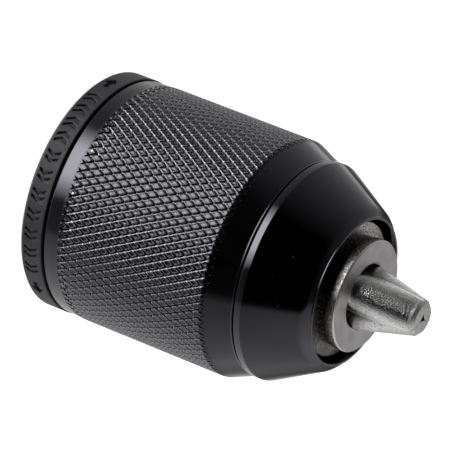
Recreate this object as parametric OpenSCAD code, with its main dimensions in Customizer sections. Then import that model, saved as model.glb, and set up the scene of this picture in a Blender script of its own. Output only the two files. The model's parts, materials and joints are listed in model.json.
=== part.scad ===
// Keyless drill chuck, 10 mm capacity, two-hand pattern, with the three jaws closed.
// Millimetres. +Z runs along the spindle axis towards the nose, z = 0 is the rear face.
// Jaw 1 points along -Y. Turning the sleeve positively about +Z opens the jaws.

/* [Envelope] */
// Diameter over the knurled sleeve and the holding ring
sleeve_d = 38; // [30:0.5:50]
// Height of the steel nose face
body_h = 50; // [40:0.1:70]
// Height of the closed jaw tips
tip_h = 60; // [50:0.1:80]

/* [Steel body] */
// Diameter of the steel nose
nose_d = 17.7; // [14:0.1:24]
// Shoulder behind the nose
shoulder_d = 21.8; // [18:0.1:24]
// Height of the shoulder's face
shoulder_h = 46.6; // [42:0.1:60]
// Bore between the jaws
front_bore_d = 10.2; // [8:0.1:16]
// Spindle thread, wall of the bore (3/8-24 UNF major diameter)
spindle_d = 9.525; // [8:0.005:16]
// Depth of the spindle thread
spindle_depth = 15; // [10:0.5:20]
// Clearance hole for the left-hand retaining screw
screw_hole_d = 6.4; // [5:0.1:8]
// Tail that carries the holding ring
tail_d = 19; // [15:0.5:24]
// Thrust flange
flange_d = 30; // [26:0.5:34]
// Collar behind the nose
collar_d = 24.4; // [20:0.2:28]

/* [Jaws] */
// Jaw shank diameter
jaw_d = 5.8; // [4:0.1:8]
// Angle between a jaw and the spindle axis
jaw_tilt = 15; // [10:0.5:20]
// Height where the jaw axes cross the spindle axis
apex_h = 58.88; // [50:0.01:70]
// Distance from that crossing to the rear end of a jaw
jaw_rear = 33.9; // [28:0.1:40]
// Radial clearance of a jaw in its bore
jaw_clear = 0.05; // [0.02:0.01:0.1]
// Half gap between neighbouring closed jaws
jaw_gap = 0.04; // [0.02:0.01:0.2]
// Flat that truncates the gripping ridge, distance from the spindle axis
ridge_flat = 0.4; // [0.2:0.05:1]

/* [Jaw thread] */
// Pitch along the spindle axis
pitch = 2; // [1:0.1:3]
// Grooves on one jaw
groove_count = 11; // [6:1:14]
// Height of the thread at angle zero
thread_z = 28.2; // [26:0.1:32]
// Turns of thread in the split nut
nut_turns = 2; // [1:1:3]

/* [Split nut] */
// Rear face of the nut
nut_z0 = 26.5; // [24:0.1:30]
// Front face of the nut
nut_z1 = 32.5; // [30:0.1:36]
// Outside diameter of the nut halves
nut_d = 28.4; // [26:0.2:32]
// Outside diameter of the band that closes the nut
band_d = 30; // [28:0.2:34]

/* [Thrust bearing] */
// Number of balls
ball_count = 18; // [10:1:24]
// Ball diameter
ball_d = 1.96; // [1.5:0.01:3]
// Diameter of the ball circle
ball_circle_d = 28.7; // [26:0.1:32]

/* [Lock] */
// Ratchet teeth on the rear race
tooth_count = 36; // [18:2:60]
// Turn of the sleeve between free and locked, degrees
lock_turn = 20; // [10:1:30]
// Radius of the pawl pivots
pawl_pivot_r = 16.15; // [15.5:0.05:17]
// Arc length of a pawl, degrees
pawl_arc = 25; // [15:1:35]

/* [Sleeve] */
// Rear edge of the sleeve
sleeve_z0 = 4.3; // [3:0.1:8]
// Front edge of the sleeve
sleeve_z1 = 37.4; // [30:0.1:45]
// Height where the sleeve begins to taper
taper_z = 32.6; // [28:0.1:40]
// Wall of the metal shell
shell_t = 1; // [0.6:0.1:2]

/* [Nose cone] */
// Rear edge of the cone
cone_z0 = 37.75; // [34:0.05:42]
// Lip of the cone
cone_z1 = 48; // [44:0.1:52]
// Mouth diameter
mouth_d = 22.8; // [18:0.2:30]

/* [Holding ring] */
// Height of the ring
ring_h = 3.95; // [3:0.05:8]
// Depth of the moulded marks
mark_depth = 0.5; // [0.1:0.05:0.8]

/* [Hidden] */
$fn = 96;
eps = 0.01;
sleeve_r = sleeve_d / 2;
jaw_r = jaw_d / 2;
jaw_angles = [-90, 30, 150];
race_z = 22;
race_t = 1.2;
ball_z = race_z + race_t + 1;
nut_mid = (thread_z + nut_turns * pitch / 2) - 0.5;
groove_lead = atan(pitch / (2 * PI * (cone_r(nut_mid) + 2.4)));
pawl_angles = [0, 180];
lug_angles = [90, 270];
steel = "#a3a3a0";
hard = "#8d9092";
black = "#1c1d1f";
plastic = "#2b2c2e";

// Distance of the jaw axis from the spindle axis at height z
function cone_r(z) = (apex_h - z) * tan(jaw_tilt);
// Wall of the threaded nut at height z
function nut_wall(z) = cone_r(z) + 3.2;
// Height of the nut thread at angle a, turn k
function thread_h(a, k) = thread_z + pitch * a / 360 + pitch * k;

// Moves its children to the tilted axis of the jaw on +X
module jaw_axis() {
    translate([0, 0, apex_h])
    rotate([0, -jaw_tilt, 0])
    children();
}

// Ring between two radii and two heights
module ring(r0, r1, z0, z1) {
    translate([0, 0, z0])
    difference() {
        cylinder(r = r1, h = z1 - z0);
        translate([0, 0, -1])
        cylinder(r = r0, h = z1 - z0 + 2);
    }
}

// Sector of a ring, from angle a over w degrees
module arc_block(r0, r1, z0, z1, a, w) {
    rotate([0, 0, a])
    rotate_extrude(angle = w)
    polygon([[r0, z0], [r1, z0], [r1, z1], [r0, z1]]);
}

// Turned steel body with the spindle thread bore, the front bore and three slanted jaw bores
module chuck_body() {
    color(steel)
    difference() {
        rotate_extrude()
        polygon([[0, 0], [tail_d / 2 - 0.5, 0], [tail_d / 2, 0.5], [tail_d / 2, 10],
            [flange_d / 2, 14], [flange_d / 2, race_z], [13.2, race_z], [13.2, race_z + race_t],
            [12, race_z + race_t], [12, nut_z0 - 0.3], [8.9, nut_z0 - 0.3], [8.9, nut_z1 + 0.3],
            [collar_d / 2, nut_z1 + 0.3], [collar_d / 2, 35.9], [11.4, 35.9], [11.4, 36.8],
            [collar_d / 2, 36.8], [collar_d / 2, 39], [shoulder_d / 2, 40.3],
            [shoulder_d / 2, shoulder_h - 0.3], [shoulder_d / 2 - 0.3, shoulder_h],
            [nose_d / 2 - 0.2, shoulder_h], [nose_d / 2 - 0.2, body_h - 1.7], [nose_d / 2, body_h - 1.5],
            [nose_d / 2, body_h - 0.2], [nose_d / 2 - 0.2, body_h], [0, body_h]]);
        translate([0, 0, -1])
        cylinder(d = spindle_d, h = spindle_depth + 1);
        translate([0, 0, -eps])
        cylinder(d1 = spindle_d + 1.2, d2 = spindle_d, h = 0.6);
        translate([0, 0, 10])
        cylinder(d = screw_hole_d, h = 20);
        translate([0, 0, 24])
        cylinder(d = front_bore_d, h = 30);
        translate([0, 0, body_h - 0.3])
        cylinder(d1 = front_bore_d, d2 = front_bore_d + 0.8, h = 0.3 + eps);
        for (a = jaw_angles)
            rotate([0, 0, a])
            jaw_axis()
            translate([0, 0, -60])
            cylinder(r = jaw_r + jaw_clear, h = 80);
    }
}

// Arrow head with a short shaft, drawn in the plane, pointing along +X
module arrow() {
    polygon([[1.5, 0], [-0.1, 1.15], [-0.1, 0.42], [-1.5, 0.42], [-1.5, -0.42], [-0.1, -0.42], [-0.1, -1.15]]);
}

// Sinks a plane figure into the rim of the holding ring at angle a
module rim_mark(a) {
    rotate([0, 0, a])
    translate([sleeve_r - mark_depth, 0, ring_h / 2])
    rotate([90, 0, 90])
    linear_extrude(2)
    children();
}

// Two chevrons side by side, pointing along +X
module chevrons() {
    for (i = [-1, 1])
        translate([i * 0.52 - 0.38, 0])
        polygon([[0, -1.15], [0.46, -1.15], [1.04, 0], [0.46, 1.15], [0, 1.15], [0.58, 0]]);
}

// Moulded marks on the rim: an arrow and a row of chevrons for each way of turning
module rim_marks() {
    rim_mark(-141.3)
    rotate([0, 0, 180])
    arrow();
    rim_mark(-20.3)
    arrow();
    for (i = [0:3])
        rim_mark(-126.5 + i * 8.4)
        rotate([0, 0, 180])
        chevrons();
    for (i = [0:6])
        rim_mark(-92 + i * 9.5)
        chevrons();
}

// Plastic holding ring pressed on the tail, ribbed at the back
module rear_ring() {
    color(plastic)
    difference() {
        union() {
            rotate_extrude()
            polygon([[tail_d / 2, 0.2], [11.6, 0.2], [11.6, 1.5], [17, 1.5], [17, 0], [sleeve_r - 0.4, 0],
                [sleeve_r, 0.45], [sleeve_r, ring_h - 0.1], [sleeve_r - 0.1, ring_h], [16.85, ring_h],
                [16.85, 7.2], [16, 7.2], [16, 3.2], [11.6, 3.2], [11.6, 6.4], [tail_d / 2, 6.4]]);
            for (i = [0:11])
                rotate([0, 0, i * 30 + 15])
                translate([11.4, -0.5, 0.6])
                cube([5.8, 1, 1]);
        }
        rim_marks();
    }
}

// Hardened rear race with saw teeth on its rim
module ratchet_race() {
    step = 360 / tooth_count;
    color(hard)
    translate([0, 0, race_z])
    linear_extrude(race_t)
    difference() {
        polygon([for (i = [0:tooth_count - 1], p = [0, 1])
            let (a = 26.2 + i * step, r = p == 0 ? 15 : 15.6)
            [r * cos(a - (1 - p) * 0.4), r * sin(a - (1 - p) * 0.4)]]);
        circle(r = 13.2);
    }
}

// Ring of identical bearing balls
module thrust_balls() {
    color(hard)
    for (i = [0:ball_count - 1])
        rotate([0, 0, i * 360 / ball_count])
        translate([ball_circle_d / 2, 0, ball_z])
        sphere(d = ball_d, $fn = 24);
}

// Flat cage that keeps the balls apart
module ball_cage() {
    color("#6e6250")
    difference() {
        ring(12.9, 15.8, ball_z - 0.45, ball_z + 0.45);
        for (i = [0:ball_count - 1])
            rotate([0, 0, i * 360 / ball_count])
            translate([ball_circle_d / 2, 0, ball_z - 2])
            cylinder(d = ball_d + 0.12, h = 4, $fn = 32);
    }
}

// Front race, turns with the nut
module front_race() {
    color(hard)
    ring(12.3, 15.9, ball_z + 1, nut_z0);
}

// One turn or less of the nut thread, from angle a over w degrees
module nut_thread(a, w, k) {
    steps = 24;
    pts = [for (i = [0:steps])
        let (t = a + w * i / steps, z = thread_h(t, k), r = nut_wall(z))
        for (q = [[r + 0.3, -0.6], [r - 1.1, -0.28], [r - 1.1, 0.28], [r + 0.3, 0.6]])
        [q[0] * cos(t), q[0] * sin(t), z + q[1]]];
    sides = [for (i = [0:steps - 1], j = [0:3])
        let (m = i * 4 + j, n = i * 4 + (j + 1) % 4)
        each [[n, m, m + 4], [n, m + 4, n + 4]]];
    last = steps * 4;
    ends = [[0, 1, 2], [0, 2, 3], [last + 2, last + 1, last], [last + 3, last + 2, last]];
    polyhedron(points = pts, faces = concat(sides, ends), convexity = 6);
}

// Half of the split nut with its share of the thread
module nut_half(a) {
    color(hard)
    union() {
        rotate([0, 0, a])
        rotate_extrude(angle = 180)
        polygon([[nut_wall(nut_z0), nut_z0], [nut_d / 2, nut_z0], [nut_d / 2, nut_z1],
            [nut_wall(nut_z1), nut_z1]]);
        for (k = [0:nut_turns - 1])
            nut_thread(a, 180, k);
    }
}

module nut_half_a() {
    nut_half(-90);
}

module nut_half_b() {
    nut_half(90);
}

// Band pressed over the two nut halves
module nut_band() {
    color(steel)
    ring(nut_d / 2, band_d / 2, nut_z0 + 0.1, nut_z1 - 0.1);
}

// Thin cup on the nut band that holds the pawls and carries the two driving lugs
module pawl_carrier() {
    color(steel)
    difference() {
        union() {
            rotate_extrude()
            polygon([[15.95, 20.9], [16.35, 20.9], [16.35, 28.4], [band_d / 2, 28.4],
                [band_d / 2, 27.4], [15.95, 27.4]]);
            for (a = lug_angles)
                arc_block(16.2, 16.85, 27.4, 28.4, a - 6, 12);
        }
        for (a = pawl_angles) {
            arc_block(15.5, 17, 21.75, 23.25, a, 42);
            rotate([0, 0, a])
            translate([pawl_pivot_r, 0, 21.75])
            cylinder(r = 0.5, h = 1.5);
        }
    }
}

// Pawl: a knuckle, a curved arm and an inward hook at the tip
module pawl(a) {
    arm = [for (i = [0:10]) [16.33, pawl_arc * i / 10]];
    back = [for (i = [9:-1:0]) [15.98, pawl_arc * i / 10]];
    outline = concat(arm, [[15.78, pawl_arc], [15.78, pawl_arc - 1]], back);
    color(hard)
    rotate([0, 0, a])
    translate([0, 0, 21.85])
    union() {
        linear_extrude(1.3)
        polygon([for (p = outline) [p[0] * cos(p[1]), p[0] * sin(p[1])]]);
        translate([pawl_pivot_r, 0, 0])
        cylinder(r = 0.45, h = 1.3, $fn = 32);
    }
}

module pawl_a() {
    pawl(pawl_angles[0]);
}

module pawl_b() {
    pawl(pawl_angles[1]);
}

// Thread grooves across the outer side of the jaw on +X, for a jaw that sits at angle a
module jaw_grooves(a) {
    r0 = cone_r(nut_mid) + 1.8;
    for (k = [0:groove_count - 1]) {
        z = thread_h(a, k);
        translate([-(z - nut_mid) * tan(jaw_tilt), 0, z])
        rotate([groove_lead, 0, 0])
        rotate_extrude()
        polygon([[r0, -0.42], [r0 + 1.6, -0.88], [r0 + 1.6, 0.88], [r0, 0.42]]);
    }
}

// Slanted round jaw with two gripping faces that meet its neighbours at 120 degrees
module jaw(a) {
    shift = jaw_gap / sin(60);
    color(steel)
    rotate([0, 0, a])
    difference() {
        intersection() {
            jaw_axis()
            translate([0, 0, -jaw_rear])
            cylinder(r = jaw_r, h = jaw_rear + 6);
            translate([0, 0, 20])
            linear_extrude(tip_h - 20)
            polygon([[ridge_flat, tan(60) * (ridge_flat - shift)], [ridge_flat, -tan(60) * (ridge_flat - shift)],
                [16, -tan(60) * (16 - shift)], [16, tan(60) * (16 - shift)]]);
        }
        rotate_extrude()
        polygon([[2.2, tip_h + 0.1], [4, tip_h + 0.1], [4, tip_h - 1.7]]);
        jaw_axis()
        translate([0, 0, -jaw_rear - eps])
        difference() {
            cylinder(r = jaw_r + 1, h = 0.8);
            cylinder(r1 = jaw_r - 0.8, r2 = jaw_r, h = 0.8 + eps);
        }
        jaw_grooves(a);
    }
}

module jaw_1() {
    jaw(jaw_angles[0]);
}

module jaw_2() {
    jaw(jaw_angles[1]);
}

module jaw_3() {
    jaw(jaw_angles[2]);
}

// Plastic driver inside the sleeve: it turns the nut by its lugs and cams the pawls inward
module driver_sleeve() {
    color(plastic)
    difference() {
        union() {
            rotate_extrude()
            polygon([[16.9, 5], [sleeve_r - shell_t, 5], [sleeve_r - shell_t, 31.9], [16.6, 35.1],
                [collar_d / 2 + 0.05, 35.1], [collar_d / 2 + 0.05, 33.2], [16.9, 33.2], [16.9, 29.5],
                [16.45, 29.5], [16.45, 27.3], [16.9, 26.9]]);
            for (a = pawl_angles)
                arc_block(16.15, 17.2, 21.95, 23.05, a + 35, 4);
        }
        for (a = lug_angles)
            arc_block(16, 16.95, 27, 28.5, a - 6.5, lock_turn + 13);
    }
}

// Metal shell of the sleeve, tapered at the front
module outer_sleeve() {
    color(black)
    rotate_extrude()
    polygon([[sleeve_r - shell_t, sleeve_z0], [sleeve_r - 0.4, sleeve_z0], [sleeve_r - 0.1, sleeve_z0 + 0.3],
        [sleeve_r - 0.1, 6.7], [sleeve_r, 6.8], [sleeve_r, taper_z], [17.15, 36.9],
        [17.15, sleeve_z1 - 0.1], [17.05, sleeve_z1], [16, sleeve_z1], [16, 36.9],
        [sleeve_r - shell_t, 32.2]]);
}

// Conical front cap pressed into the sleeve
module nose_cone() {
    color(black)
    rotate_extrude()
    polygon([[14.2, 35.2], [15.95, 35.2], [15.95, cone_z0], [17.15, cone_z0], [17.3, cone_z0 + 0.15],
        [17.3, cone_z0 + 1.2], [13.4, 46.2], [12.8, 47.1], [12.2, 47.7], [11.7, cone_z1],
        [mouth_d / 2, cone_z1 - 0.15], [mouth_d / 2, 47.1], [12.5, 46], [14.95, 40.2], [14.2, 38.2]]);
}

// Steel washer between the driver and the snap ring
module front_washer() {
    color(steel)
    ring(collar_d / 2, 14, 35.2, 35.9);
}

// Open snap ring in the groove of the collar
module snap_ring() {
    color(hard)
    arc_block(11.4, 13.3, 35.9, 36.8, 20, 322);
}

chuck_body();
rear_ring();
ratchet_race();
thrust_balls();
ball_cage();
front_race();
nut_half_a();
nut_half_b();
nut_band();
pawl_carrier();
pawl_a();
pawl_b();
jaw_1();
jaw_2();
jaw_3();
driver_sleeve();
outer_sleeve();
nose_cone();
front_washer();
snap_ring();
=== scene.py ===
import json
import math

import bmesh
import bpy
from mathutils import Matrix, Vector


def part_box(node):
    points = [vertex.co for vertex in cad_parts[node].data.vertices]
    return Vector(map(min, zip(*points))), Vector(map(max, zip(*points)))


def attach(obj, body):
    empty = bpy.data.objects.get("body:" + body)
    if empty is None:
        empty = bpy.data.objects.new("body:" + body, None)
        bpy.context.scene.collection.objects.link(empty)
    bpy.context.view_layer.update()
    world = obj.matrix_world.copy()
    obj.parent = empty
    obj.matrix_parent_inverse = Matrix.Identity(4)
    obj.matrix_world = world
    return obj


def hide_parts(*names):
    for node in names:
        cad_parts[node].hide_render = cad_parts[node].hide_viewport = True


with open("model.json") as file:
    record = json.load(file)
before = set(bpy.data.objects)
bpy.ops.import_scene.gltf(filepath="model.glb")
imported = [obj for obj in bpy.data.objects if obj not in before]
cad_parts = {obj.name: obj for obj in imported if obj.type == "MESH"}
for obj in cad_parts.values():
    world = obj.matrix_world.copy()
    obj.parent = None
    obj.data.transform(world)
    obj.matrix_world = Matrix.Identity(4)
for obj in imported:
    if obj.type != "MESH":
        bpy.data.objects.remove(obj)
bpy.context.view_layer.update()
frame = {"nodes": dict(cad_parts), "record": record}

scene = bpy.context.scene
NODES = frame["nodes"]
MM = 0.001

# ---------------------------------------------------------------- heights and radii from the frame, in mm


def front(node):
    """Height of a CAD node's front end."""
    return round(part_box(node)[1].z / MM, 3)


def rear(node):
    """Height of a CAD node's rear end."""
    return round(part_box(node)[0].z / MM, 3)


def reach(node):
    """Largest radius of a round CAD node."""
    return round(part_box(node)[1].x / MM, 3)


SLEEVE_REAR = rear("outer_sleeve")
SLEEVE_FRONT = front("outer_sleeve")
SHOULDER = 46.6  # the step behind the steel nose
LIP = front("nose_cone")
NOSE_FACE = front("chuck_body")
TIP = front("jaw_1")

# ---------------------------------------------------------------- camera

# The chuck's axis runs right and down in the picture, nose towards the viewer
TILT = math.radians(27.4)  # of the axis, out of the picture
ROLL = math.radians(21.45)  # of the axis, within the picture
TURN = math.radians(5.7)  # of the chuck, about its axis
LENS = 400

spin = Matrix.Rotation(TURN, 3, "Z")
RIGHT = spin @ Vector((-math.sin(ROLL), math.sin(TILT) * math.cos(ROLL), math.cos(TILT) * math.cos(ROLL)))
DOWN = spin @ Vector((math.cos(ROLL), math.sin(TILT) * math.sin(ROLL), math.cos(TILT) * math.sin(ROLL)))
AWAY = spin @ Vector((0, math.cos(TILT), -math.sin(TILT)))

# The eye's place, in mm, is given from a point on the axis near the rear
AIM = Vector((0, 0, 4.059))
EYE_RIGHT = 16.9533
EYE_DOWN = 4.242
EYE_BACK = 765.6557
SENSOR = 36

cam_data = bpy.data.cameras.new("camera")
cam_data.sensor_width = SENSOR
cam_data.lens = LENS
cam_data.clip_start = 0.01
cam_data.clip_end = 20
cam = bpy.data.objects.new("camera", cam_data)
scene.collection.objects.link(cam)
eye = (AIM + EYE_RIGHT * RIGHT + EYE_DOWN * DOWN - EYE_BACK * AWAY) * MM
cam.matrix_world = Matrix.Translation(eye) @ Matrix((RIGHT, -DOWN, -AWAY)).transposed().to_4x4()
scene.camera = cam

# ---------------------------------------------------------------- node helpers


class Shader:
    """The node tree of a material or of the world, emptied and ready to be built."""

    def __init__(self, tree):
        self.tree = tree
        tree.nodes.clear()

    def put(self, value, socket):
        """Feeds an input socket from another node's output, or sets it to a plain value."""
        if hasattr(value, "is_output"):
            self.tree.links.new(value, socket)
        else:
            socket.default_value = value

    def node(self, kind, **inputs):
        """Adds a node. Inputs go by name, or by place as i0, i1 and so on, and _name sets a property."""
        made = self.tree.nodes.new(kind)
        for key, value in inputs.items():
            if key.startswith("_"):
                setattr(made, key[1:], value)
            elif key[0] == "i" and key[1:].isdigit():
                self.put(value, made.inputs[int(key[1:])])
            else:
                self.put(value, made.inputs[key.replace("_", " ")])
        return made

    def math(self, op, a, b=0.0):
        return self.node("ShaderNodeMath", _operation=op, i0=a, i1=b).outputs[0]

    def times(self, *values):
        """Product of all values."""
        out = values[0]
        for value in values[1:]:
            out = self.math("MULTIPLY", out, value)
        return out

    def plus(self, *values):
        """Sum of all values."""
        out = values[0]
        for value in values[1:]:
            out = self.math("ADD", out, value)
        return out

    def dot(self, a, b):
        made = self.node("ShaderNodeVectorMath", _operation="DOT_PRODUCT", i0=a, i1=tuple(b))
        return made.outputs["Value"]

    def span(self, value, low, high, to_low, to_high):
        """Straight line from to_low, where value is low, to to_high, where it is high, and level outside."""
        return self.node("ShaderNodeMapRange", i0=value, i1=low, i2=high, i3=to_low, i4=to_high).outputs[0]

    def ramp(self, value, low, high):
        """0 up to low, 1 from high on."""
        return self.span(value, low, high, 0, 1)

    def fade(self, value, low, high):
        """1 up to low, 0 from high on."""
        return self.span(value, low, high, 1, 0)

    def mix(self, share, a, b):
        """Colour a, with a share of colour b."""
        return self.node("ShaderNodeMix", _data_type="RGBA", i0=share, i6=a, i7=b).outputs[2]

    def noise(self, pos, scale, detail, rough=0.5):
        """Noise around 0.5, with scale cells to the metre."""
        made = self.node("ShaderNodeTexNoise", Vector=pos, Scale=scale, Detail=detail, Roughness=rough)
        return made.outputs["Fac"]

    def attribute(self, name):
        return self.node("ShaderNodeAttribute", _attribute_name=name).outputs["Fac"]

    def bump(self, height, strength, distance):
        return self.node("ShaderNodeBump", Strength=strength, Distance=distance, Height=height).outputs[0]

    def polar(self, pos):
        """Distance from the spindle axis, angle about it, and height."""
        x, y, z = self.node("ShaderNodeSeparateXYZ", Vector=pos).outputs
        radius = self.math("SQRT", self.plus(self.times(x, x), self.times(y, y)))
        return radius, self.math("ARCTAN2", y, x), z

    def turned(self, pos, scale):
        """Lathe lines: noise that runs round the spindle axis, changing only with radius and height."""
        radius, _, z = self.polar(pos)
        across = self.node("ShaderNodeCombineXYZ", X=self.times(radius, scale), Y=self.times(z, scale), Z=0.0)
        return self.noise(across.outputs[0], 1.0, 2.0, 0.6)


def rgb(r, g, b):
    return (r, g, b, 1.0)


def surface(s, shader, **sockets):
    """Feeds the sockets of a surface shader."""
    for name, value in sockets.items():
        s.put(value, shader.inputs[name.replace("_", " ")])


def material(name, build):
    """New material whose sockets are fed by a make function, from positions in the row frame."""
    made = bpy.data.materials.new(name)
    made.use_nodes = True
    s = Shader(made.node_tree)
    shader = s.node("ShaderNodeBsdfPrincipled")
    s.node("ShaderNodeOutputMaterial", i0=shader.outputs[0])
    build(s, shader, s.node("ShaderNodeTexCoord").outputs["Object"])
    return made


# ---------------------------------------------------------------- materials

BLACK_IOR = 1.8
BLACK_TINT = rgb(0.91, 0.89, 1.0)  # the finish reflects a little violet
LIT_FLANK = (-1.29, 0.26, 0)  # points to the flank of the shoulder that is left light; the rest of the shoulder gets painted dark reflection


def make_nose_steel(s, shader, pos):
    """Turned steel: a clean face with a painted highlight along its corner, a pitted side, a dark band on the
    neck, and painted dark reflection on most of the shoulder.
    """
    _, _, z = s.polar(pos)
    lines = s.turned(pos, 9000)
    cloud = s.noise(pos, 350, 4)
    stain = s.noise(pos, 1400, 5, 0.7)
    pits = s.noise(pos, 3200, 4, 0.7)

    tone = s.mix(s.ramp(cloud, 0.3, 0.7), rgb(0.52, 0.50, 0.50), rgb(0.66, 0.64, 0.64))
    tone = s.mix(s.span(stain, 0.62, 0.78, 0, 0.45), tone, rgb(0.19, 0.165, 0.155))

    side = s.fade(z, (NOSE_FACE - 0.25) * MM, (NOSE_FACE - 0.15) * MM)
    pitted = s.mix(s.ramp(pits, 0.44, 0.58), rgb(0.76, 0.72, 0.70), rgb(0.10, 0.09, 0.085))
    tone = s.mix(s.times(side, 0.85), tone, pitted)

    # Painted highlight: the corner chamfer of the face is given a lighter colour
    corner_glint_start = s.ramp(z, (NOSE_FACE - 0.24) * MM, (NOSE_FACE - 0.18) * MM)
    corner_glint_end = s.fade(z, (NOSE_FACE - 0.04) * MM, (NOSE_FACE - 0.01) * MM)
    tone = s.mix(s.times(corner_glint_start, corner_glint_end), tone, rgb(0.85, 0.83, 0.81))

    neck_start = s.ramp(z, (SHOULDER + 0.05) * MM, (SHOULDER + 0.15) * MM)
    neck = s.times(neck_start, s.fade(z, (LIP + 0.3) * MM, (LIP + 0.6) * MM))
    # Painted dark reflection: the shoulder is darkened, mottled, everywhere but on the flank that stays light
    shaded_flank = s.span(s.dot(pos, LIT_FLANK), 8 * MM, 10.5 * MM, 0.92, 0)
    shoulder = s.fade(z, (SHOULDER + 0.1) * MM, (SHOULDER + 0.15) * MM)
    painted_shoulder_shade = s.times(shaded_flank, shoulder, s.ramp(stain, 0.34, 0.44))
    # Dark mottled colour, for the band on the neck and for the painted dark reflection on the shoulder
    scale = s.mix(s.ramp(pits, 0.46, 0.62), rgb(0.03, 0.028, 0.027), rgb(0.48, 0.455, 0.445))
    tone = s.mix(s.math("MAXIMUM", neck, painted_shoulder_shade), tone, scale)

    rough = s.plus(s.span(lines, 0.3, 0.7, 0.26, 0.36), s.span(stain, 0.55, 0.8, 0, 0.15))
    rough = s.plus(rough, s.span(side, 0, 1, 0.14, 0))
    relief = s.plus(lines, s.times(pits, side, 4.0))
    surface(s, shader, Base_Color=tone, Metallic=1.0, Roughness=rough, Normal=s.bump(relief, 0.3, 0.04 * MM))


def make_jaw_steel(s, shader, pos):
    """Ground steel with coarse grain, duller at the tips, with a painted white highlight along the edges
    where jaws meet.
    """
    radius, angle, z = s.polar(pos)
    grain = s.noise(pos, 4800, 2, 0.6)
    fine = s.noise(pos, 8000, 2, 0.6)
    cloud = s.noise(pos, 500, 4)

    # Near the three planes between the jaws this is 1.5 times the distance from the plane
    apart = s.math("ABSOLUTE", s.math("COSINE", s.times(s.plus(angle, math.pi / 2), 1.5)))
    # Painted highlight: a white, less metallic line along the edges where jaws meet
    wear_and_glint = s.times(s.fade(s.times(apart, radius), 0.28 * MM, 0.34 * MM), s.ramp(radius, 2.6 * MM, 2.7 * MM))

    tone = s.mix(s.ramp(cloud, 0.3, 0.7), rgb(0.80, 0.80, 0.79), rgb(0.93, 0.93, 0.92))
    tone = s.mix(s.span(grain, 0.50, 0.62, 0, 0.6), tone, rgb(0.17, 0.165, 0.155))
    tone = s.mix(s.span(z, (TIP - 0.1) * MM, (TIP - 0.02) * MM, 0, 0.08), tone, rgb(0.15, 0.15, 0.145))
    tone = s.mix(wear_and_glint, tone, rgb(0.95, 0.95, 0.94))

    dull = s.span(z, (TIP - 1) * MM, (TIP - 0.8) * MM, 0, 0.22)
    rough = s.plus(s.span(fine, 0.3, 0.7, 0.18, 0.25), dull)
    relief = s.plus(grain, s.times(fine, 0.3))
    surface(s, shader, Base_Color=tone, Metallic=s.span(wear_and_glint, 0, 1, 1, 0.25), Roughness=rough,
            Normal=s.bump(relief, 0.72, 0.078 * MM))


def make_hard_steel(s, shader, pos):
    """Hardened and turned steel, for the parts inside."""
    lines = s.turned(pos, 6000)
    cloud = s.noise(pos, 420, 4)
    tone = s.mix(s.ramp(cloud, 0.3, 0.7), rgb(0.34, 0.345, 0.35), rgb(0.50, 0.505, 0.51))
    surface(s, shader, Base_Color=tone, Metallic=1.0, Roughness=s.span(lines, 0.3, 0.7, 0.22, 0.34),
            Normal=s.bump(lines, 0.2, 0.03 * MM))


def make_black_steel(s, shader, pos):
    """Black finish on steel, worn through along the rims of the knurl's pads."""
    fine = s.noise(pos, 6000, 3, 0.6)
    cloud = s.noise(pos, 260, 4)
    wear_and_glint = s.times(s.ramp(s.attribute("edge"), 0.66, 0.97), s.span(fine, 0.36, 0.56, 0.1, 0.9))
    tone = s.mix(s.ramp(cloud, 0.3, 0.7), rgb(0.0006, 0.0006, 0.0009), rgb(0.0018, 0.0018, 0.0023))
    tone = s.mix(wear_and_glint, tone, rgb(0.48, 0.48, 0.49))
    rough = s.plus(s.span(cloud, 0.3, 0.7, 0.11, 0.14), s.span(fine, 0.4, 0.7, 0, 0.04))
    surface(s, shader, Base_Color=tone, Metallic=wear_and_glint, Roughness=rough, IOR=BLACK_IOR,
            Specular_Tint=BLACK_TINT, Normal=s.bump(fine, 0.10, 0.02 * MM))


def make_gloss_black(s, shader, pos):
    """Polished black finish with faint lathe lines and a few specks of dust."""
    lines = s.turned(pos, 2500)
    dust = s.ramp(s.noise(pos, 2600, 2, 0.5), 0.74, 0.80)
    tone = s.mix(s.times(dust, 0.5), rgb(0.0005, 0.0005, 0.0008), rgb(0.10, 0.10, 0.11))
    rough = s.plus(s.span(lines, 0.3, 0.7, 0.07, 0.11), s.times(dust, 0.2))
    relief = s.plus(s.times(lines, 0.3), dust)
    surface(s, shader, Base_Color=tone, Roughness=rough, IOR=BLACK_IOR, Specular_Tint=BLACK_TINT,
            Normal=s.bump(relief, 0.06, 0.03 * MM))


def make_grained_plastic(s, shader, pos):
    """Charcoal plastic from a grained mould, paler on the tops of the grain."""
    grain = s.noise(pos, 3600, 4, 0.65)
    cloud = s.noise(pos, 300, 3)
    tone = s.mix(s.ramp(cloud, 0.3, 0.7), rgb(0.0155, 0.015, 0.0185), rgb(0.0255, 0.025, 0.029))
    tone = s.mix(s.span(grain, 0.55, 0.75, 0, 0.5), tone, rgb(0.05, 0.05, 0.052))
    surface(s, shader, Base_Color=tone, Roughness=s.span(grain, 0.3, 0.7, 0.48, 0.62), IOR=1.5,
            Normal=s.bump(grain, 0.5, 0.08 * MM))


def make_plain_plastic(dark, light):
    """Make function of a moulded plastic that varies between two tones."""
    def make(s, shader, pos):
        grain = s.noise(pos, 2400, 3, 0.6)
        surface(s, shader, Base_Color=s.mix(grain, dark, light), Roughness=s.span(grain, 0.3, 0.7, 0.4, 0.55),
                Normal=s.bump(grain, 0.3, 0.06 * MM))
    return make


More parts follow.
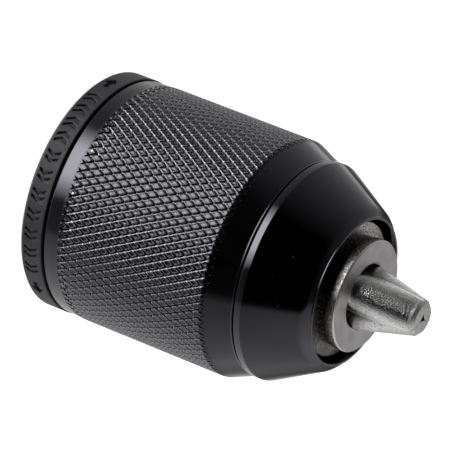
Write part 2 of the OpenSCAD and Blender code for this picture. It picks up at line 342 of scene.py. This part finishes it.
MAKE = {
    "nose_steel": make_nose_steel,
    "jaw_steel": make_jaw_steel,
    "hard_steel": make_hard_steel,
    "black_steel": make_black_steel,
    "gloss_black": make_gloss_black,
    "grained_plastic": make_grained_plastic,
    "driver_plastic": make_plain_plastic(rgb(0.02, 0.02, 0.022), rgb(0.045, 0.045, 0.048)),
    "cage_plastic": make_plain_plastic(rgb(0.22, 0.16, 0.09), rgb(0.36, 0.28, 0.17)),
}
MATS = {name: material(name + "_look", make) for name, make in MAKE.items()}
for part in frame["record"]["subparts"]:
    for material_slot in NODES[part["node"]].material_slots:
        material_slot.material = MATS[part["material_slot"]]

# ---------------------------------------------------------------- mesh helpers


def add(name, mesh, body, slot, *nodes):
    """New piece that rides on a body and stands for the given CAD nodes."""
    piece = bpy.data.objects.new(name, mesh)
    scene.collection.objects.link(piece)
    mesh.materials.clear()
    mesh.materials.append(MATS[slot])
    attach(piece, body)
    if nodes:
        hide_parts(*nodes)


def rounded(corners):
    """Closed outline in mm. A corner is (r, z) or (r, z, radius), where radius rounds it with an arc."""
    out = []
    for i, corner in enumerate(corners):
        here = Vector(corner[:2])
        if len(corner) == 2:
            out.append(here)
            continue
        back = Vector(corners[i - 1][:2]) - here
        ahead = Vector(corners[(i + 1) % len(corners)][:2]) - here
        half = back.angle(ahead) / 2
        cut = min(corner[2] / math.tan(half), back.length * 0.49, ahead.length * 0.49)
        back.normalize()
        ahead.normalize()
        centre = here + (back + ahead).normalized() * (cut / math.cos(half))
        start, end = here + back * cut - centre, here + ahead * cut - centre
        sweep = start.angle(end)
        steps = max(2, int(sweep / math.radians(12)) + 1)
        for k in range(steps + 1):
            turn = sweep * k / steps
            out.append(centre + (math.sin(sweep - turn) * start + math.sin(turn) * end) / math.sin(sweep))
    return out


def revolve(outline, count):
    """Solid of a closed outline (r, z in mm) turned about the spindle axis, in count segments."""
    bm = bmesh.new()
    rings = []
    for i in range(count):
        x, y = math.cos(2 * math.pi * i / count), math.sin(2 * math.pi * i / count)
        rings.append([bm.verts.new((r * x * MM, r * y * MM, z * MM)) for r, z in outline])
    for i, ring in enumerate(rings):
        after = rings[(i + 1) % count]
        for j in range(len(outline)):
            k = (j + 1) % len(outline)
            bm.faces.new((ring[j], after[j], after[k], ring[k]))
    bmesh.ops.recalc_face_normals(bm, faces=bm.faces)
    return bm


def smooth_mesh(bm, name, angle):
    """Mesh with smooth shading, sharp where it bends by more than angle degrees."""
    mesh = bpy.data.meshes.new(name)
    bm.to_mesh(mesh)
    bm.free()
    mesh.shade_smooth()
    mesh.set_sharp_from_angle(angle=math.radians(angle))
    return mesh


# ---------------------------------------------------------------- knurled sleeve

STARTS = 88  # grooves in each of the two crossing families
LEAD = 2.5  # mm along the axis from one groove of a family to the next
CREST = reach("outer_sleeve")
DEPTH = 0.42  # of a groove, in mm
DISH_DEPTH = 0.085  # of a pad's middle below its rim, in mm
RUN_OUT = (6.35, 7.6)  # heights between which the grooves fade in, in mm
TURNED, KNURLED = 0, 1  # material indices that tell the two kinds of faces apart

# Places across one groove spacing, which runs from 0, the middle of a groove, to 1, the middle of the next
RIM = 0.175  # rim of a pad
DISH = 0.29  # row inside the rim, which gives the dish its round shape
ROWS = (0, RIM, DISH, 0.5, 1 - DISH, 1 - RIM)


def knurl_depth(u, v, z):
    """Depth in mm below the crest at the place u, v between two grooves of each family."""
    run = min(1.0, max(0.0, (z - RUN_OUT[0]) / (RUN_OUT[1] - RUN_OUT[0])))
    run = run * run * (3 - 2 * run)
    near = min(u, 1 - u, v, 1 - v)
    groove = DEPTH * run * max(0.0, 1 - near / RIM)
    hollow = max(0.0, (near - RIM) / (0.5 - RIM))
    return groove + DISH_DEPTH * hollow * (2 - hollow)


def knurled_solid(z0, z1):
    """Knurled bar from z0 to z1, meshed along the grooves. The layer edge is 1 on the rims of the pads."""
    bm = bmesh.new()
    edge = bm.verts.layers.float.new("edge")
    verts = {}
    rows = len(ROWS)
    full_turn = STARTS * rows

    def vert(iu, iv):
        """Vertex in row iu across one family of grooves and row iv across the other, made when first met."""
        turns = math.floor((iu + iv) / (2 * full_turn))
        key = (iu - turns * full_turn, iv - turns * full_turn)
        if key not in verts:
            (cell_u, row_u), (cell_v, row_v) = divmod(iu, rows), divmod(iv, rows)
            u, v = ROWS[row_u], ROWS[row_v]
            z = (cell_u + u - cell_v - v) * LEAD / 2
            angle = (cell_u + u + cell_v + v) * math.pi / STARTS
            r = CREST - knurl_depth(u, v, z)
            verts[key] = bm.verts.new((r * MM * math.cos(angle), r * MM * math.sin(angle), z * MM))
            verts[key][edge] = 1.0 if abs(min(u, 1 - u, v, 1 - v) - RIM) < 1e-6 else 0.0
        return verts[key]

    for step in range(math.floor(2 * z0 / LEAD) - 1, math.ceil(2 * z1 / LEAD) + 2):
        for cell in range(STARTS):
            for iu in range((cell + step) * rows, (cell + step + 1) * rows):
                for iv in range(cell * rows, (cell + 1) * rows):
                    bm.faces.new((vert(iu, iv), vert(iu, iv + 1), vert(iu + 1, iv + 1), vert(iu + 1, iv)))
    for z, sign in ((z0, -1), (z1, 1)):
        geom = bm.verts[:] + bm.edges[:] + bm.faces[:]
        bmesh.ops.bisect_plane(bm, geom=geom, plane_co=(0, 0, z * MM), plane_no=(0, 0, sign),
                               clear_outer=True, dist=1e-8)
        ring = [e for e in bm.edges if e.is_boundary and abs(e.verts[0].co.z - z * MM) < 1e-7]
        bmesh.ops.holes_fill(bm, edges=ring, sides=0)
    bmesh.ops.recalc_face_normals(bm, faces=bm.faces)
    return bm


def scratch(bm, name, index):
    """Temporary object whose faces all carry the same one of two material indices."""
    for face in bm.faces:
        face.material_index = index
    mesh = bpy.data.meshes.new(name)
    bm.to_mesh(mesh)
    bm.free()
    for _ in range(2):
        mesh.materials.append(MATS["black_steel"])
    obj = bpy.data.objects.new(name, mesh)
    scene.collection.objects.link(obj)
    return obj


def overlap(target, tool):
    """Mesh of what two scratch objects have in common. Both objects are removed."""
    mod = target.modifiers.new("cut", "BOOLEAN")
    mod.operation = "INTERSECT"
    mod.solver = "EXACT"
    mod.object = tool
    bpy.context.view_layer.update()
    mesh = bpy.data.meshes.new_from_object(target.evaluated_get(bpy.context.evaluated_depsgraph_get()))
    for obj in (tool, target):
        bpy.data.objects.remove(obj)
    return mesh


def shade_sleeve(mesh, turned_limit, knurl_limit):
    """Smooth shading, sharp where faces bend by more than the limit of their kind or the two kinds meet."""
    bm = bmesh.new()
    bm.from_mesh(mesh)
    for face in bm.faces:
        face.smooth = True
    for edge in bm.edges:
        kinds = {face.material_index for face in edge.link_faces}
        bend = edge.calc_face_angle(0)
        edge.smooth = kinds == {TURNED} and bend < turned_limit or kinds == {KNURLED} and bend < knurl_limit
    for face in bm.faces:
        face.material_index = 0
    bm.to_mesh(mesh)
    bm.free()


# The rear band lies below the crests, and the part ahead of it just above them, so that the knurl cuts it
BAND_R = 18.87
BLANK_R = 19.05
FRONT_R = 17.12  # at the end of the taper
INNER_R = 18.0
LINER_R = 16.0  # inside the front edge
SLEEVE = rounded([
    (INNER_R, SLEEVE_REAR), (BAND_R, SLEEVE_REAR, 0.3), (BAND_R, 6.5, 2.0), (BLANK_R, 8.2, 2.0),
    (BLANK_R, 32.55, 0.2), (FRONT_R, SLEEVE_FRONT - 0.25, 0.08), (FRONT_R, SLEEVE_FRONT, 0.1),
    (LINER_R, SLEEVE_FRONT), (LINER_R, SLEEVE_FRONT - 0.5), (INNER_R, 32.2),
])
knurl = scratch(knurled_solid(SLEEVE_REAR - 0.3, SLEEVE_FRONT + 0.4), "knurl_tool", KNURLED)
blank = scratch(revolve(SLEEVE, 288), "knurl_blank", TURNED)
sleeve_mesh = overlap(blank, knurl)
shade_sleeve(sleeve_mesh, math.radians(24), math.radians(90))
add("knurled_sleeve", sleeve_mesh, "sleeve", "black_steel", "outer_sleeve")

# ---------------------------------------------------------------- nose cone

SPIGOT_REAR = rear("nose_cone")  # the spigot enters the sleeve
SPIGOT_R = 15.95
SPIGOT_BORE_R = 14.2
CONE_REAR = 37.75
CONE_R = reach("nose_cone")
LIP_R = 11.85
MOUTH_R = 11.4
CONE = rounded([
    (SPIGOT_BORE_R, SPIGOT_REAR), (SPIGOT_R, SPIGOT_REAR), (SPIGOT_R, CONE_REAR),
    (CONE_R, CONE_REAR, 0.15), (CONE_R, 38.95, 0.5), (12.95, LIP - 1, 3.0),
    (LIP_R, LIP - 0.22, 0.05), (LIP_R, LIP, 0.08), (MOUTH_R, LIP, 0.1), (MOUTH_R, LIP - 0.9, 0.3),
    (12.5, LIP - 2, 1.0), (14.95, 40.2, 0.8), (SPIGOT_BORE_R, 38.2),
])
add("nose_cap", smooth_mesh(revolve(CONE, 256), "nose_cap", 40), "sleeve", "gloss_black", "nose_cone")

# ---------------------------------------------------------------- spindle thread

PITCH = 25.4 / 24
BORE_R = 4.7625
CREST_R = 4.2
THREAD_Z = (1.3, 14.2)
PER_TURN = 72  # steps in a turn of the ridge


def thread_ridge():
    """Right-handed helical ridge, sunk into the bore's wall, that fades in and out over half a turn."""
    foot = BORE_R + 0.08
    start = BORE_R + 0.06  # radius of the crest where the ridge begins
    bm = bmesh.new()
    count = int((THREAD_Z[1] - THREAD_Z[0]) / PITCH * PER_TURN)
    rows = []
    for i in range(count + 1):
        angle = 2 * math.pi * i / PER_TURN
        z = THREAD_Z[0] + PITCH * i / PER_TURN
        fade = min(1.0, i / (PER_TURN * 0.5), (count - i) / (PER_TURN * 0.5))
        crest = start - (start - CREST_R) * fade
        profile = ((foot, -0.48), (crest, -0.07), (crest, 0.07), (foot, 0.48))
        x, y = math.cos(angle), math.sin(angle)
        rows.append([bm.verts.new((r * x * MM, r * y * MM, (z + dz * PITCH) * MM)) for r, dz in profile])
    for a, b in zip(rows, rows[1:]):
        for j in range(4):
            k = (j + 1) % 4
            bm.faces.new((a[j], b[j], b[k], a[k]))
    bm.faces.new(rows[0])
    bm.faces.new(rows[-1][::-1])
    bmesh.ops.recalc_face_normals(bm, faces=bm.faces)
    return bm


add("spindle_thread", smooth_mesh(thread_ridge(), "spindle_thread", 35), "body", "nose_steel")

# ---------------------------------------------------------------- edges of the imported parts


def soften(node, width, limit):
    """Rounds the edges of a CAD node, width mm wide, where it bends by more than limit degrees."""
    weld = NODES[node].modifiers.new("weld", "WELD")
    weld.merge_threshold = 0.001 * MM
    bevel = NODES[node].modifiers.new("edge", "BEVEL")
    bevel.width = width * MM
    bevel.segments = 2
    bevel.limit_method = "ANGLE"
    bevel.angle_limit = math.radians(limit)
    NODES[node].modifiers.new("shade", "WEIGHTED_NORMAL").keep_sharp = False


for jaw in ("jaw_1", "jaw_2", "jaw_3"):
    soften(jaw, 0.16, 32)
soften("rear_ring", 0.06, 40)

# ---------------------------------------------------------------- floor

FLOOR_HALF = 4  # metres

floor_mesh = bpy.data.meshes.new("floor")
floor_corners = [(x * FLOOR_HALF, y * FLOOR_HALF, 0) for x, y in ((-1, -1), (1, -1), (1, 1), (-1, 1))]
floor_mesh.from_pydata(floor_corners, [], [(0, 1, 2, 3)])
floor = bpy.data.objects.new("floor", floor_mesh)
scene.collection.objects.link(floor)


def make_floor(s, shader, _):
    """Matt white that glows evenly."""
    surface(s, shader, Base_Color=rgb(0.9, 0.9, 0.9), Roughness=0.8, Emission_Color=rgb(1, 1, 1),
            Emission_Strength=0.97)


floor_mesh.materials.append(material("floor", make_floor))

# The world below shows all of the studio, so the floor takes no part in reflections
floor.visible_glossy = False
floor.visible_shadow = False

# ---------------------------------------------------------------- studio

# A white table beside the chuck, a dim room, darkness behind the camera and one soft key light, all of it
# a function of direction alone
TABLE_UP = -0.817 * DOWN - 0.577 * AWAY
KEY = (-0.642 * RIGHT - 0.5455 * DOWN - 0.538 * AWAY).normalized()
KEY_UP = (Vector((0, 0, 1)) - KEY * KEY.z).normalized()
KEY_SIDE = KEY.cross(KEY_UP)
KEY_POWER = 5.0
ROOM = 0.45
ROOM_FAR = 0.3  # added straight behind the chuck, as the camera sees it


def build_studio(s):
    """Brightness of the world in each direction."""
    look = s.node("ShaderNodeTexCoord").outputs["Generated"]
    facing = s.dot(look, -AWAY)
    height = s.dot(look, TABLE_UP)
    rise = s.dot(look, (0, 0, 1))

    behind = s.ramp(facing, 0.75, -0.9)
    glow = s.times(s.span(facing, -0.75, -0.9, 0, 0.6), s.ramp(rise, -0.42, -0.3))
    room = s.plus(glow, s.times(behind, ROOM), s.times(s.math("POWER", behind, 9.0), ROOM_FAR))

    is_table = s.ramp(height, -0.17, -0.27)
    sheet = s.span(height, -0.3, -0.85, 0.5, 0.97)
    falloff = s.span(s.math("ABSOLUTE", s.math("SUBTRACT", rise, 0.1)), 0.15, 0.5, 0.5, 0.85)
    shade = s.times(s.span(facing, -0.6, -0.9, 0, 0.8), s.ramp(rise, -0.42, -0.25))
    table = s.times(sheet, falloff, s.math("SUBTRACT", 1.0, shade), is_table)

    sideways = s.math("ABSOLUTE", s.dot(look, KEY_SIDE))
    upwards = s.dot(look, KEY_UP)
    key = s.times(s.span(s.dot(look, KEY), 0, 0.1, 0, KEY_POWER), s.ramp(sideways, 0.52, 0.2),
                  s.ramp(upwards, 0.26, 0.12), s.span(upwards, -0.5, -0.1, 0.35, 1))

    strength = s.plus(s.times(room, s.math("SUBTRACT", 1.0, is_table)), table, key)
    background = s.node("ShaderNodeBackground", Color=rgb(1, 1, 1), Strength=strength)
    s.node("ShaderNodeOutputWorld", i0=background.outputs[0])


scene.world = bpy.data.worlds.new("studio")
scene.world.use_nodes = True
build_studio(Shader(scene.world.node_tree))

scene.view_settings.view_transform = "Standard"
scene.view_settings.look = "None"
scene.view_settings.exposure = 0
scene.view_settings.gamma = 1
